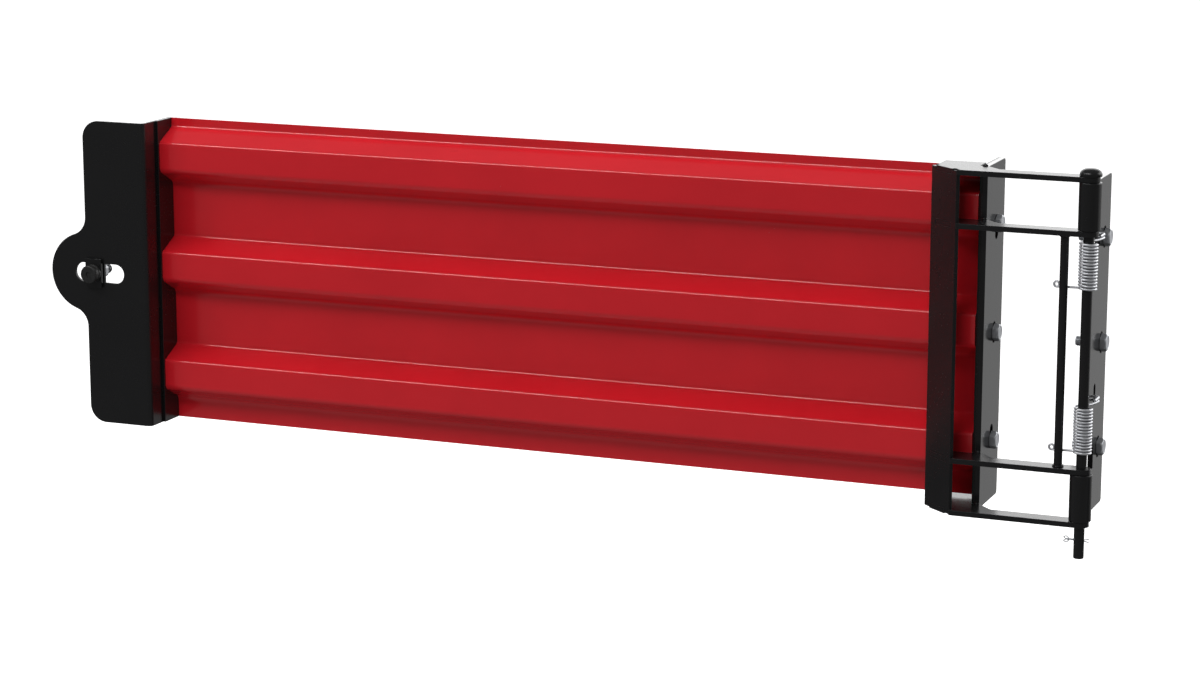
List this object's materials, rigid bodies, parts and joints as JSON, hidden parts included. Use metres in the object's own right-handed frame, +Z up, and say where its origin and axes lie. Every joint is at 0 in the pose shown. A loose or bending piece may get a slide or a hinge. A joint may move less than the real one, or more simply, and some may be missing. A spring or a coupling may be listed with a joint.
{
  "type": "livestock panel gate",
  "caption": "Spring-return livestock gate: a corrugated panel on hinge arms and a long pin, with a slotted mounting plate and a lobed latch plate.",
  "frame": {"origin": "axis of the middle mounting bolt, on the mounting plate's inner face", "axes": "+X along the closed gate from the latch to the hinge, +Y away from the gate's front, +Z up along the hinge pin"},
  "size_m": [1.7656, 0.1739, 0.5869],
  "materials": {
    "red_panel": "gloss powder coat",
    "black_paint": "gloss powder coat",
    "grey_plate": "gloss powder coat",
    "zinc": "bright zinc",
    "spring_steel": "bright drawn wire",
    "rubber": "matte"
  },
  "bodies": {
    "hinge_mount": {"mount_plate": "grey_plate", "upper_hinge_sleeve": "black_paint", "lower_hinge_sleeve": "black_paint", "mount_bolts": "zinc", "upper_torsion_spring": "spring_steel", "lower_torsion_spring": "spring_steel"},
    "gate": {"hinge_pin": "black_paint", "cotter_pin": "zinc", "top_arm": "black_paint", "upper_inner_arm": "black_paint", "lower_inner_arm": "black_paint", "bottom_arm": "black_paint", "spring_stop_rod": "black_paint", "guard_plate": "black_paint", "joint_plate": "grey_plate", "right_end_channel": "black_paint", "joint_bolts": "zinc", "joint_nuts": "zinc", "corrugated_sheet": "red_panel", "left_end_channel": "black_paint", "latch_plate": "black_paint"},
    "stop": {"stop_bumper": "rubber", "stop_bolt": "zinc", "stop_washers": "black_paint", "stop_nut": "zinc"}
  },
  "joints": [
    {"name": "gate_swing", "type": "hinge", "parent": "hinge_mount", "child": "gate", "pos_m": [0.004, -0.085, 0], "axis": [0, 0, 1], "range_deg": [-70, 0], "stiffness_Nm_per_rad": 6, "springref_deg": 20.05, "deforming": ["upper_torsion_spring", "lower_torsion_spring"]},
    {"name": "stop_slide", "type": "slide", "parent": "gate", "child": "stop", "axis": [1, 0, 0], "range_m": [-0.025, 0.043]}
  ]
}
